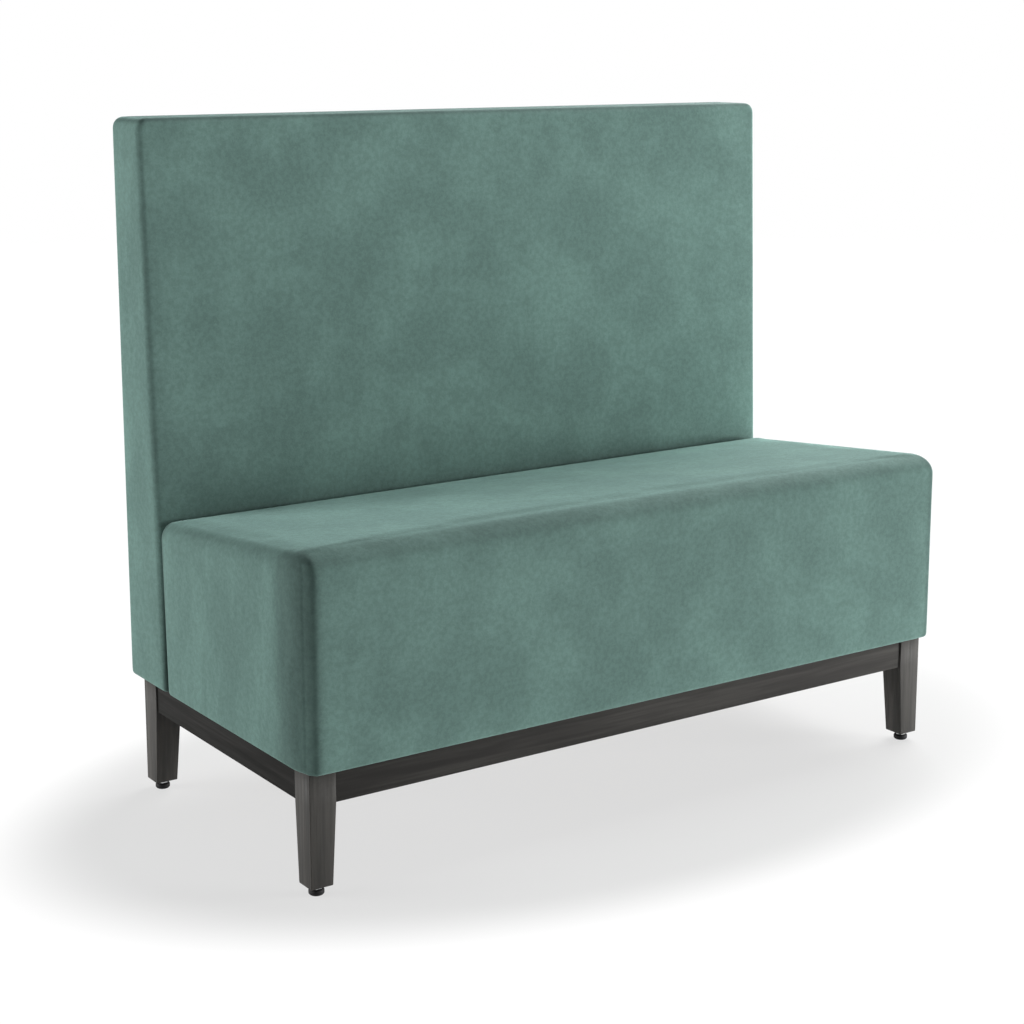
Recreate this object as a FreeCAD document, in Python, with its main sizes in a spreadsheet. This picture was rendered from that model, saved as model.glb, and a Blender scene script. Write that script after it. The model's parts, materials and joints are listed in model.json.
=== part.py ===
import FreeCAD, Part
import Sketcher
import math
import os
import re
from types import SimpleNamespace

from FreeCAD import Placement, Rotation, Vector

# Upholstered restaurant booth: a tapered-leg wooden base with levelling feet, a sprung
# seat box and a wedge-shaped back, all in millimetres.
# X runs along the bench, Y from the front to the rear, Z up from the floor.

os.makedirs("parts", exist_ok=True)
doc = FreeCAD.newDocument("booth")
sheet = doc.addObject("Spreadsheet::Sheet", "dims")

DRIVING = {
    # whole booth
    "overall_depth": 590,
    "overall_height": 1070,
    "seat_width": 1218,
    "back_side_inset": 1,
    "soft_gap": 0.3,
    "fit_gap": 0.2,
    "cut_overrun": 5,
    # wooden base
    "base_height": 191,
    "base_front_inset": 20,
    "base_side_inset": 15,
    "base_rear_inset": 22,
    "apron_height": 55,
    "apron_thickness": 22,
    "apron_recess": 3,
    "leg_top_width": 43,
    "leg_foot_width": 36,
    "tenon_thickness": 8,
    "tenon_length": 22,
    "tenon_shoulder": 8,
    "tenon_face_offset": 7,
    "block_reach": 60,
    "block_height": 38,
    "block_drop": 1.5,
    "cross_rail_width": 40,
    "cross_rail_height": 30,
    "cross_tenon_length": 8,
    "corner_bolt_radius": 3,
    "corner_bolt_length": 58,
    "corner_bolt_head_radius": 7,
    "corner_bolt_head_height": 5,
    "base_screw_along": 62,
    "base_screw_across": 36,
    # levelling feet
    "pad_radius": 11.5,
    "pad_height": 9.4,
    "socket_depth": 5,
    "stem_radius": 4,
    "stem_length": 30,
    "stem_clearance": 0.08,
    "spanner_radius": 9,
    "spanner_height": 5,
    "insert_radius": 7.5,
    "insert_length": 32,
    # seat box
    "seat_front_height": 506,
    "seat_fall": 44,
    "top_foam_thickness": 80,
    "panel_thickness": 18,
    "tongue_thickness": 8,
    "tongue_depth": 7,
    "rib_drop": 40,
    "rib_spacing": 396,
    "cleat_width": 42,
    "cleat_height": 35,
    "strap_width": 60,
    "strap_thickness": 1.4,
    "strap_tab": 25,
    "strap_count": 6,
    "dust_cover_thickness": 0.8,
    "dust_cover_margin": 47,
    # seat upholstery
    "cover_thickness": 1.5,
    "front_bulge": 4,
    "seat_crown": 5,
    "seat_corner_radius": 36,
    "seat_rim_radius": 31,
    "seat_rear_edge_radius": 6,
    "rear_return": 40,
    "bevel_share": 0.85,
    # back
    "back_top_thickness": 97,
    "back_bottom_thickness": 129,
    "back_foam_thickness": 25,
    "back_panel_thickness": 6,
    "edge_foam_thickness": 12,
    "back_crown": 4,
    "back_ease_height": 60,
    "back_corner_radius": 20,
    "back_front_rim_radius": 13,
    "back_rear_rim_radius": 9,
    "stile_thickness": 28,
    "back_rail_height": 45,
    "mounting_board_height": 210,
    "rear_panel_thickness": 4,
    "rear_window_margin": 14,
    # screws and bolts
    "screw_radius": 2.5,
    "screw_length": 62,
    "screw_head_radius": 5.5,
    "screw_head_height": 3,
    "bolt_radius": 4,
    "bolt_length": 60,
    "bolt_head_radius": 9,
    "bolt_head_height": 5,
    "bolt_rise": 100,
    "bolt_spread": 856,
    "nut_radius": 7.5,
    "nut_height": 6.5,
    "washer_side": 24,
    "washer_thickness": 2,
}

for row, (name, number) in enumerate(DRIVING.items(), start=1):
    sheet.set(f"A{row}", name)
    sheet.set(f"B{row}", str(number))
    sheet.setAlias(f"B{row}", name)
doc.recompute()
size = SimpleNamespace(**{name: float(sheet.get(name)) for name in DRIVING})

# Sizes that follow from the ones above.
FOLLOWING = {
    "base_width": "(seat_width - 2 * base_side_inset)",
    "base_depth": "(overall_depth - front_bulge - base_front_inset - base_rear_inset)",
    "back_width": "(seat_width - 2 * back_side_inset)",
}


def linked(text):
    """An expression on plain size names, pointed at the sheet."""
    def link(match):
        name = match[0]
        if name in FOLLOWING:
            return linked(FOLLOWING[name])
        return f"dims.{name}" if name in DRIVING else name
    return re.sub(r"[a-z][a-z_]+", link, text)


def bind(thing, **links):
    for path, text in links.items():
        thing.setExpression(path.replace("__", "."), linked(text))


# Every y below is measured back from the booth's foremost plane.
FRONT_SHIFT = "overall_depth / 2"


def place(thing, x, y, z, rotation=None):
    thing.Placement = Placement(Vector(), rotation or Rotation())
    bind(thing, Placement__Base__x=x, Placement__Base__y=f"({y}) - {FRONT_SHIFT}",
         Placement__Base__z=z)


def block(name, x, y, z, length, width, height):
    made = doc.addObject("Part::Box", name)
    bind(made, Length=length, Width=width, Height=height)
    place(made, x, y, z)
    return made


ALONG = {
    "X": Rotation(Vector(0, 1, 0), 90),
    "-X": Rotation(Vector(0, 1, 0), -90),
    "Y": Rotation(Vector(1, 0, 0), -90),
    "-Y": Rotation(Vector(1, 0, 0), 90),
    "Z": Rotation(),
    "-Z": Rotation(Vector(1, 0, 0), 180),
}


def rod(name, x, y, z, radius, length, axis="Z"):
    made = doc.addObject("Part::Cylinder", name)
    bind(made, Radius=radius, Height=length)
    place(made, x, y, z, ALONG[axis] if isinstance(axis, str) else axis)
    return made


def hexagon(name, x, y, z, radius, height, axis="Z"):
    made = doc.addObject("Part::Prism", name)
    made.Polygon = 6
    bind(made, Circumradius=radius, Height=height)
    place(made, x, y, z, ALONG[axis] if isinstance(axis, str) else axis)
    return made


def fuse(name, *parts):
    made = doc.addObject("Part::MultiFuse", name)
    made.Shapes = list(parts)
    made.Refine = True
    return made


def group(name, parts):
    made = doc.addObject("Part::Compound", name)
    made.Links = list(parts)
    return made


def cut(name, base, *tools):
    made = doc.addObject("Part::Cut", name)
    made.Base = base
    made.Tool = tools[0] if len(tools) == 1 else group(name + "_cutters", tools)
    return made


def mirrored(name, source, normal):
    """A copy across the middle of the bench or across the middle of the base."""
    made = doc.addObject("Part::Mirroring", name)
    made.Source = source
    made.Normal = normal
    if normal.y:
        bind(made, Base__y=f"front_bulge + base_front_inset + base_depth / 2 - {FRONT_SHIFT}")
    return made


def number_of(text):
    """The present value of an expression on size names."""
    probe.setExpression("number", linked(text))
    probe.recompute()
    return probe.number


probe = doc.addObject("App::FeaturePython", "probe")
probe.addProperty("App::PropertyFloat", "number")
for name in FOLLOWING:
    setattr(size, name, number_of(name))


def origin_plane(body, role):
    return next(f for f in body.Origin.OriginFeatures if f.Role == role)


def outline(body, name, role, points, level=None):
    """A closed sketch of straight lines whose corners are held by sheet sizes."""
    sketch = body.newObject("Sketcher::SketchObject", name)
    sketch.AttachmentSupport = (origin_plane(body, role), [""])
    sketch.MapMode = "FlatFace"
    if level:
        bind(sketch, AttachmentOffset__Base__z=level)
    corners = [Vector(number_of(across), number_of(up), 0) for across, up in points]
    for start, end in zip(corners, corners[1:] + corners[:1]):
        sketch.addGeometry(Part.LineSegment(start, end), False)
    for line in range(len(corners)):
        after = (line + 1) % len(corners)
        sketch.addConstraint(Sketcher.Constraint("Coincident", line, 2, after, 1))
    for line, (point, corner) in enumerate(zip(points, corners)):
        for kind, axis, text, value in (("DistanceX", -2, point[0], corner.x),
                                        ("DistanceY", -1, point[1], corner.y)):
            if text == "0":
                sketch.addConstraint(Sketcher.Constraint("PointOnObject", line, 1, axis))
            else:
                held = sketch.addConstraint(Sketcher.Constraint(kind, -1, 1, line, 1, value))
                sketch.setExpression(f"Constraints[{held}]", linked(text))
    return sketch


def new_body(name, x, y="0", z="0"):
    made = doc.addObject("PartDesign::Body", name)
    place(made, x, y, z)
    return made


def pad(body, name, sketch, length):
    made = body.newObject("PartDesign::Pad", name)
    made.Profile = sketch
    bind(made, Length=length)
    return made


def profile_board(name, x, width, points):
    """A board cut to a side profile, from its left face at x."""
    body = new_body(name, x)
    sketch = outline(body, name + "_profile", "YZ_Plane", points)
    pad(body, name + "_width", sketch, width)
    return body


# Places that several pieces share, written on the sheet's sizes.
BASE_FRONT = "(front_bulge + base_front_inset)"
BASE_LEFT = "(-base_width / 2)"
LEG_FOOT = "(pad_height + spanner_height + 2 * soft_gap)"
APRON_BOTTOM = "(base_height - apron_height)"
APRON_INSIDE = "(apron_recess + apron_thickness)"
BLOCK_TOP = "(base_height - block_drop)"
BACK_SLOPE = ("((back_bottom_thickness - back_top_thickness)"
              " / (overall_height - base_height))")
SEAT_SLOPE = "(seat_fall / (overall_depth - front_bulge - back_bottom_thickness))"
DECK_REAR = "(seat_front_height - seat_fall - top_foam_thickness)"
REAR_BOARD_GAP = "(2 * soft_gap + cover_thickness)"
FOAM_FRONT = "(cover_thickness + soft_gap)"
PANEL_FRONT = f"({FOAM_FRONT} + back_foam_thickness + soft_gap)"
FRAME_FRONT = f"({PANEL_FRONT} + back_panel_thickness)"
FRAME_REAR = f"(overall_depth - {FOAM_FRONT} - rear_panel_thickness)"
FRAME_TOP = f"(overall_height - {REAR_BOARD_GAP} - edge_foam_thickness)"
FRAME_HALF = f"(back_width / 2 - {REAR_BOARD_GAP} - edge_foam_thickness)"
BOARD_TOP = "(base_height + mounting_board_height)"


def back_face(z):
    """The raked front of the back at height z."""
    return f"(overall_depth - back_bottom_thickness + {BACK_SLOPE} * (({z}) - base_height))"


def seat_top(y):
    """The pitched seat plane at depth y, before its crown."""
    return f"(seat_front_height - {SEAT_SLOPE} * (({y}) - front_bulge))"


def deck(y):
    """The top edge of the seat boards, under the foam."""
    return f"({seat_top(y)} - top_foam_thickness)"


def box_rear(z):
    """The front face of the seat's rear board at height z."""
    return f"({back_face(z)} - {REAR_BOARD_GAP} - panel_thickness)"


# Base: front left corner first, then its mirror images.
def leg():
    body = new_body("leg_body", BASE_LEFT, BASE_FRONT)
    square = lambda side: [("0", "0"), (side, "0"), (side, side), ("0", side)]
    foot = outline(body, "leg_foot_square", "XY_Plane", square("leg_foot_width"), LEG_FOOT)
    head = outline(body, "leg_head_square", "XY_Plane", square("leg_top_width"), APRON_BOTTOM)
    shaft = body.newObject("PartDesign::AdditiveLoft", "leg_taper")
    shaft.Profile = foot
    shaft.Sections = [(head, [""])]
    shaft.Ruled = True
    pad(body, "leg_head", head, "apron_height")
    return body


def mortise(name, along_x):
    """The socket for one apron's tenon in the front left leg."""
    deep = (f"{BASE_LEFT} + leg_top_width - tenon_length - fit_gap", "tenon_length + 2 * fit_gap")
    deep_y = (f"{BASE_FRONT} + leg_top_width - tenon_length - fit_gap",
              "tenon_length + 2 * fit_gap")
    side = "apron_recess + tenon_face_offset - fit_gap"
    thick = "tenon_thickness + 2 * fit_gap"
    z = f"{APRON_BOTTOM} + tenon_shoulder - fit_gap"
    tall = "apron_height - 2 * tenon_shoulder + 2 * fit_gap"
    if along_x:
        return block(name, deep[0], f"{BASE_FRONT} + {side}", z, deep[1], thick, tall)
    return block(name, f"{BASE_LEFT} + {side}", deep_y[0], z, thick, deep_y[1], tall)


TOWARDS_CORNER = Rotation(Vector(0, 0, 1), Vector(-1, -1, 0))
BLOCK_FACE = f"((leg_top_width + block_reach + {APRON_INSIDE} + fit_gap) / 2)"
BOLT_LEVEL = f"({BLOCK_TOP} - block_height / 2)"
FOOT_CENTRE = "(leg_foot_width / 2)"


def corner_bolt(name, grow, head=True):
    at = [f"{BASE_LEFT} + {BLOCK_FACE}", f"{BASE_FRONT} + {BLOCK_FACE}", BOLT_LEVEL]
    shank = rod(name + "_shank", *at, f"corner_bolt_radius + {grow}", "corner_bolt_length",
                TOWARDS_CORNER)
    if not head:
        return shank
    cap = hexagon(name + "_head", *at, "corner_bolt_head_radius", "corner_bolt_head_height",
                  TOWARDS_CORNER.multiply(Rotation(Vector(1, 0, 0), 180)))
    return fuse(name, shank, cap)


def base_screw(name, grow):
    at = [f"{BASE_LEFT} + base_screw_along", f"{BASE_FRONT} + base_screw_across"]
    underside = f"{BLOCK_TOP} - block_height"
    shank = rod(name + "_shank", *at, underside, f"screw_radius + {grow}", "screw_length")
    if grow != "0":
        return shank
    head = hexagon(name + "_head", *at, underside, "screw_head_radius", "screw_head_height", "-Z")
    return fuse(name, shank, head)


def foot_pocket():
    return hexagon("insert_pocket", f"{BASE_LEFT} + {FOOT_CENTRE}", f"{BASE_FRONT} + {FOOT_CENTRE}",
                   f"{LEG_FOOT} - cut_overrun", "insert_radius + fit_gap",
                   "cut_overrun + insert_length + soft_gap")


def drilled_leg():
    return cut("leg_front_left", leg(), mortise("front_mortise", True),
               mortise("side_mortise", False), corner_bolt("leg_bolt_hole", "fit_gap", head=False),
               foot_pocket())


def corner_block():
    inside, reach = f"{APRON_INSIDE} + fit_gap", "leg_top_width + block_reach"
    beside = "leg_top_width + fit_gap"
    body = new_body("corner_block_body", BASE_LEFT, BASE_FRONT, f"{BLOCK_TOP} - block_height")
    sketch = outline(body, "corner_block_plan", "XY_Plane",
                     [(beside, inside), (reach, inside), (inside, reach), (inside, beside),
                      (beside, beside)])
    pad(body, "corner_block_height", sketch, "block_height")
    return cut("corner_block_front_left", body, corner_bolt("block_bolt_hole", "fit_gap", False),
               base_screw("block_screw_hole", "fit_gap"))


CROSS_LEFT = "(-cross_rail_width / 2)"
CROSS_BOTTOM = f"({BLOCK_TOP} - cross_rail_height)"


def cross_tenon(name, y, length, grow="0"):
    return block(name, f"{CROSS_LEFT} + tenon_shoulder - {grow}", y,
                 f"{CROSS_BOTTOM} + tenon_shoulder - {grow}",
                 f"cross_rail_width - 2 * tenon_shoulder + 2 * {grow}", length,
                 f"cross_rail_height - 2 * tenon_shoulder + 2 * {grow}")


def long_apron():
    clear = "base_width - 2 * leg_top_width"
    board = block("front_apron_board", f"{BASE_LEFT} + leg_top_width",
                  f"{BASE_FRONT} + apron_recess", APRON_BOTTOM, clear, "apron_thickness",
                  "apron_height")
    tenons = block("front_apron_tenons", f"{BASE_LEFT} + leg_top_width - tenon_length",
                   f"{BASE_FRONT} + apron_recess + tenon_face_offset",
                   f"{APRON_BOTTOM} + tenon_shoulder", f"{clear} + 2 * tenon_length",
                   "tenon_thickness", "apron_height - 2 * tenon_shoulder")
    socket = cross_tenon("front_apron_mortise",
                         f"{BASE_FRONT} + {APRON_INSIDE} - cross_tenon_length - fit_gap",
                         "cross_tenon_length + fit_gap + cut_overrun", "fit_gap")
    return cut("apron_front", fuse("front_apron_solid", board, tenons), socket)


def short_apron():
    clear = "base_depth - 2 * leg_top_width"
    board = block("left_apron_board", f"{BASE_LEFT} + apron_recess",
                  f"{BASE_FRONT} + leg_top_width", APRON_BOTTOM, "apron_thickness", clear,
                  "apron_height")
    tenons = block("left_apron_tenons", f"{BASE_LEFT} + apron_recess + tenon_face_offset",
                   f"{BASE_FRONT} + leg_top_width - tenon_length",
                   f"{APRON_BOTTOM} + tenon_shoulder", "tenon_thickness",
                   f"{clear} + 2 * tenon_length", "apron_height - 2 * tenon_shoulder")
    return fuse("apron_left", board, tenons)


def cross_rail():
    rail = block("cross_rail_board", CROSS_LEFT, f"{BASE_FRONT} + {APRON_INSIDE}", CROSS_BOTTOM,
                 "cross_rail_width", f"base_depth - 2 * {APRON_INSIDE}", "cross_rail_height")
    tenons = cross_tenon("cross_rail_tenons",
                         f"{BASE_FRONT} + {APRON_INSIDE} - cross_tenon_length",
                         f"base_depth - 2 * {APRON_INSIDE} + 2 * cross_tenon_length")
    return fuse("base_cross_rail", rail, tenons)


def glide_pad():
    at = [f"{BASE_LEFT} + {FOOT_CENTRE}", f"{BASE_FRONT} + {FOOT_CENTRE}"]
    disc = rod("pad_disc", *at, "0", "pad_radius", "pad_height")
    socket = rod("pad_socket", *at, "pad_height - socket_depth", "stem_radius + stem_clearance",
                 "socket_depth + cut_overrun")
    return cut("glide_pad_front_left", disc, socket)


def glide_stem():
    at = [f"{BASE_LEFT} + {FOOT_CENTRE}", f"{BASE_FRONT} + {FOOT_CENTRE}"]
    collar = hexagon("stem_spanner_collar", *at, "pad_height + soft_gap", "spanner_radius",
                     "spanner_height")
    screw = rod("stem_screw", *at, "pad_height - socket_depth + soft_gap", "stem_radius",
                "socket_depth + spanner_height + stem_length")
    return fuse("glide_stem_front_left", collar, screw)


def glide_insert():
    at = [f"{BASE_LEFT} + {FOOT_CENTRE}", f"{BASE_FRONT} + {FOOT_CENTRE}"]
    sleeve = hexagon("insert_sleeve", *at, LEG_FOOT, "insert_radius", "insert_length")
    bore = rod("insert_screw_bore", *at, f"{LEG_FOOT} - cut_overrun",
               "stem_radius + stem_clearance", "insert_length + 2 * cut_overrun")
    return cut("glide_insert", sleeve, bore)


ACROSS, ALONG_DEPTH = Vector(1, 0, 0), Vector(0, 1, 0)


def four_corners(source, name=None):
    """The front left piece with its three mirror images, under names of their own."""
    stem = (name or source.Name).replace("_front_left", "")
    front_right = mirrored(stem + "_front_right", source, ACROSS)
    rear_left = mirrored(stem + "_rear_left", source, ALONG_DEPTH)
    rear_right = mirrored(stem + "_rear_right", front_right, ALONG_DEPTH)
    return [source, front_right, rear_left, rear_right]


kept = []


def keep(*parts):
    """Marks finished pieces; each one's Label names its file."""
    for part in parts:
        part.Label = part.Name
        kept.append(part)


keep(*four_corners(drilled_leg()))
front_apron, left_apron = long_apron(), short_apron()
keep(front_apron, mirrored("apron_rear", front_apron, ALONG_DEPTH))
keep(left_apron, mirrored("apron_right", left_apron, ACROSS))
keep(*four_corners(corner_block()))
keep(cross_rail())
keep(group("corner_bolts", four_corners(corner_bolt("corner_bolt", "0"))))
keep(group("base_screws", four_corners(base_screw("base_screw", "0"))))
keep(group("glide_inserts", four_corners(glide_insert())))
keep(*four_corners(glide_pad()))
keep(*four_corners(glide_stem()))


# Seat box: plywood boards whose top edges follow the seat's pitch.
FRONT_INSIDE = f"({BASE_FRONT} + panel_thickness)"
FRONT_DECK = deck(FRONT_INSIDE)
REAR_FOOT = box_rear("base_height")


def rear_height(drop):
    """Where a line parallel to the seat plane, drop below it, meets the rear board."""
    return (f"((seat_front_height - {drop} - {SEAT_SLOPE} * ({REAR_FOOT} - front_bulge"
            f" - {BACK_SLOPE} * base_height)) / (1 + {SEAT_SLOPE} * {BACK_SLOPE}))")


REAR_HEAD = box_rear(rear_height("top_foam_thickness"))
CLEAT_TOP = "(base_height + cleat_height)"


BOLT_Z = "(base_height + bolt_rise)"
BOLT_LINES = ["-bolt_spread / 2", "0", "bolt_spread / 2"]


def leaning(radius):
    """How far a flat face of that radius stands off the raked board."""
    return f"({radius} * {BACK_SLOPE} + soft_gap / 2)"


def joining_bolt(name, x):
    start = f"{box_rear(BOLT_Z)} - {leaning('bolt_head_radius')}"
    shank = rod(name + "_shank", x, start, BOLT_Z, "bolt_radius", "bolt_length", "Y")
    head = hexagon(name + "_head", x, start, BOLT_Z, "bolt_head_radius", "bolt_head_height", "-Y")
    return fuse(name, shank, head)


def bolt_holes(tag):
    return [rod(f"{tag}_{i}", x, f"{box_rear(BOLT_Z)} - cut_overrun", BOLT_Z,
                "bolt_radius + fit_gap", "bolt_length + 2 * cut_overrun", "Y")
            for i, x in enumerate(BOLT_LINES, start=1)]


def joining_nut(name, x):
    face = f"{back_face(BOLT_Z)} + {FRAME_FRONT} + {leaning('washer_side / 2')}"
    washer = block(name + "_washer", f"{x} - washer_side / 2", face,
                   f"{BOLT_Z} - washer_side / 2", "washer_side", "washer_thickness", "washer_side")
    nut = hexagon(name + "_nut", x, f"{face} + washer_thickness", BOLT_Z, "nut_radius",
                  "nut_height", "Y")
    bore = rod(name + "_bore", x, f"{face} - cut_overrun", BOLT_Z, "bolt_radius + stem_clearance",
               "2 * cut_overrun + washer_thickness + nut_height", "Y")
    return cut(name, fuse(name + "_solid", washer, nut), bore)


TONGUE_LEFT = f"({BASE_LEFT} + (panel_thickness - tongue_thickness) / 2)"


def end_tongues():
    """A thinner board that passes into the front and rear boards."""
    front, rear = f"({FRONT_INSIDE} - tongue_depth)", f"({REAR_HEAD} + tongue_depth)"
    return profile_board("seat_end_tongues", TONGUE_LEFT, "tongue_thickness", [
        (front, "base_height"), (f"{REAR_FOOT} + tongue_depth", "base_height"),
        (rear, deck(rear)), (front, deck(front))])


def tongue_grooves():
    front, reach = f"({FRONT_INSIDE} - tongue_depth - fit_gap)", "tongue_depth + fit_gap"
    low, high = "(base_height - cut_overrun)", "seat_front_height"
    left = profile_board("seat_grooves_left", f"{TONGUE_LEFT} - fit_gap",
                         "tongue_thickness + 2 * fit_gap", [
        (front, low), (f"{box_rear(low)} + {reach}", low), (f"{box_rear(high)} + {reach}", high),
        (front, high)])
    return group("seat_grooves", [left, mirrored("seat_grooves_right", left, ACROSS)])


def seat_boards():
    front = profile_board("seat_front_blank", BASE_LEFT, "base_width", [
        (BASE_FRONT, "base_height"), (FRONT_INSIDE, "base_height"), (FRONT_INSIDE, FRONT_DECK),
        (BASE_FRONT, deck(BASE_FRONT))])
    rear_top = f"({REAR_HEAD} + panel_thickness)"
    rear = profile_board("seat_rear_blank", BASE_LEFT, "base_width", [
        (REAR_FOOT, "base_height"), (f"{REAR_FOOT} + panel_thickness", "base_height"),
        (rear_top, deck(rear_top)), (REAR_HEAD, deck(REAR_HEAD))])
    end = profile_board("seat_end_blank", BASE_LEFT, "panel_thickness", [
        (FRONT_INSIDE, "base_height"), (REAR_FOOT, "base_height"), (REAR_HEAD, deck(REAR_HEAD)),
        (FRONT_INSIDE, FRONT_DECK)])
    rib_head = box_rear(rear_height("(top_foam_thickness + rib_drop)"))
    rib = profile_board("seat_rib_left", "-rib_spacing / 2 - panel_thickness / 2",
                        "panel_thickness", [
        (f"{FRONT_INSIDE} + cleat_width", "base_height"),
        (f"{REAR_FOOT} - cleat_width", "base_height"),
        (f"{REAR_FOOT} - cleat_width", CLEAT_TOP),
        (box_rear(CLEAT_TOP), CLEAT_TOP),
        (rib_head, f"{deck(rib_head)} - rib_drop"),
        (FRONT_INSIDE, f"{FRONT_DECK} - rib_drop"),
        (FRONT_INSIDE, CLEAT_TOP),
        (f"{FRONT_INSIDE} + cleat_width", CLEAT_TOP)])
    end_left, grooves = fuse("seat_end_board_left", end, end_tongues()), tongue_grooves()
    return [cut("seat_front_board", front, grooves),
            cut("seat_rear_board", cut("seat_rear_grooved", rear, grooves),
                *bolt_holes("rear_board_bolt_hole")),
            end_left, mirrored("seat_end_board_right", end_left, ACROSS),
            rib, mirrored("seat_rib_right", rib, ACROSS)]


def seat_cleats():
    x, length = f"{BASE_LEFT} + panel_thickness", "base_width - 2 * panel_thickness"
    front = block("front_cleat_bar", x, FRONT_INSIDE, "base_height", length, "cleat_width",
                  "cleat_height")
    rear = block("seat_cleat_rear", x, f"{REAR_FOOT} - cleat_width", "base_height", length,
                 "cleat_width", "cleat_height")
    hole = base_screw("cleat_screw_hole", "fit_gap")
    return [cut("seat_cleat_front", front, hole,
                mirrored("cleat_screw_hole_right", hole, ACROSS)), rear]


def straps():
    count = int(size.strap_count)
    face = f"{BASE_FRONT} - strap_thickness"
    rear_top = f"({REAR_HEAD} + panel_thickness)"
    lifted = lambda y: f"{deck(y)} + strap_thickness"
    points = [(face, f"{deck(BASE_FRONT)} - strap_tab"),
              (BASE_FRONT, f"{deck(BASE_FRONT)} - strap_tab"), (BASE_FRONT, deck(BASE_FRONT)),
              (rear_top, deck(rear_top)), (rear_top, lifted(rear_top)), (face, lifted(face))]
    for i in range(count):
        x = f"base_width * {(i + 0.5) / count - 0.5} - strap_width / 2"
        yield profile_board(f"webbing_strap_{i + 1}", x, "strap_width", points)


def dust_cover():
    return block("dust_cover", f"{BASE_LEFT} + dust_cover_margin",
                 f"{BASE_FRONT} + dust_cover_margin", "base_height - dust_cover_thickness",
                 "base_width - 2 * dust_cover_margin",
                 f"{REAR_FOOT} - {BASE_FRONT} - dust_cover_margin - cut_overrun",
                 "dust_cover_thickness")


keep(*seat_boards(), *seat_cleats())
keep(*straps(), dust_cover())


# Back: a wedge-shaped frame with a raked front and an upright rear.
STILE_INSIDE = f"({FRAME_HALF} - stile_thickness)"
MIDDLE_RAIL = f"({BOARD_TOP} - back_rail_height / 2)"


def wedge_board(name, x, width, low, high, front=FRAME_FRONT):
    face_low, face_high = f"{back_face(low)} + {front}", f"{back_face(high)} + {front}"
    return profile_board(name, x, width, [(face_low, low), (FRAME_REAR, low),
                                          (FRAME_REAR, high), (face_high, high)])


def raked_sheet(name, low, high, front, rear):
    """A board parallel to the raked face of the back."""
    points = [(f"{back_face(z)} + {stack}", z)
              for z, stack in ((low, front), (low, rear), (high, rear), (high, front))]
    return profile_board(name, f"-{FRAME_HALF}", f"2 * {FRAME_HALF}", points)


def back_frame():
    between = (f"-{STILE_INSIDE}", f"2 * {STILE_INSIDE}")
    stile = wedge_board("back_stile_left", f"-{FRAME_HALF}", "stile_thickness", "base_height",
                        FRAME_TOP)
    bottom = wedge_board("bottom_rail_blank", *between, "base_height",
                         "base_height + back_rail_height")
    screw = mirrored("rail_screw_hole_left", base_screw("rail_screw_hole", "fit_gap"),
                     ALONG_DEPTH)
    middle = wedge_board("back_middle_rail", *between, MIDDLE_RAIL,
                         f"{MIDDLE_RAIL} + back_rail_height")
    top = wedge_board("back_top_rail", *between, f"{FRAME_TOP} - back_rail_height", FRAME_TOP)
    post = wedge_board("back_middle_stile", "-stile_thickness / 2", "stile_thickness",
                       f"{MIDDLE_RAIL} + back_rail_height", f"{FRAME_TOP} - back_rail_height")
    return [stile, mirrored("back_stile_right", stile, ACROSS), middle, top, post,
            cut("back_bottom_rail", bottom, screw,
                mirrored("rail_screw_hole_right", screw, ACROSS))]


def mounting_board():
    board = raked_sheet("mounting_board_blank", "base_height", BOARD_TOP, FOAM_FRONT, FRAME_FRONT)
    return cut("back_mounting_board", board, *bolt_holes("board_bolt_hole"))


WINDOW_HALF = "(back_width / 2 - rear_window_margin)"
WINDOW_LOW = "(base_height + rear_window_margin)"
WINDOW_HIGH = "(overall_height - rear_window_margin)"


def rear_plate(name, inset, front, rear):
    return block(name, f"{inset} - {WINDOW_HALF}", front, f"{WINDOW_LOW} + {inset}",
                 f"2 * ({WINDOW_HALF} - {inset})", f"{rear} - ({front})",
                 f"{WINDOW_HIGH} - {WINDOW_LOW} - 2 * {inset}")


def rear_closure():
    wrap = "(soft_gap + cover_thickness + soft_gap)"
    panel = rear_plate("back_rear_panel", wrap, FRAME_REAR, f"{FRAME_REAR} + rear_panel_thickness")
    tray = rear_plate("rear_cover_outside", "soft_gap", FRAME_REAR, "overall_depth")
    hollow = rear_plate("rear_cover_inside", "(soft_gap + cover_thickness)",
                        f"{FRAME_REAR} - cut_overrun", "overall_depth - cover_thickness")
    return [panel, cut("back_rear_cover", tray, hollow)]


keep(*back_frame(), mounting_board())
keep(raked_sheet("back_front_panel", BOARD_TOP, FRAME_TOP, PANEL_FRONT, FRAME_FRONT))
keep(*rear_closure())
keep(group("joining_bolts", [joining_bolt(f"joining_bolt_{i}", x)
                             for i, x in enumerate(BOLT_LINES, start=1)]))
keep(group("joining_nuts", [joining_nut(f"joining_nut_{i}", x)
                            for i, x in enumerate(BOLT_LINES, start=1)]))


# Upholstery: foam and covers share two rounded forms, each drawn in by an inset.
def closed_wire(points):
    """Joins points by lines, and by an arc through each point marked as a crown."""
    edges, corners = [], [p for p in points if not p[1]]
    here = corners[0][0]
    steps = points[1:] + points[:1]
    via = None
    for spot, crown in steps:
        if crown:
            via = spot
            continue
        curve = Part.Arc(here, via, spot) if via else Part.LineSegment(here, spot)
        edges.append(curve.toShape())
        here, via = spot, None
    return Part.Wire(edges)


def corner(spot):
    return spot, False


def crown(spot):
    return spot, True


def upright(edge):
    """True for an edge that rises more than it runs."""
    low, high = edge.Vertexes[0].Point, edge.Vertexes[-1].Point
    return abs(high.z - low.z) > abs(high.x - low.x) + abs(high.y - low.y)


def rounded(shape, radius, edges):
    return shape.makeFillet(radius, edges)


def bevelled(shape, radius, edges):
    return shape.makeChamfer(size.bevel_share * radius, edges)


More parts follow.
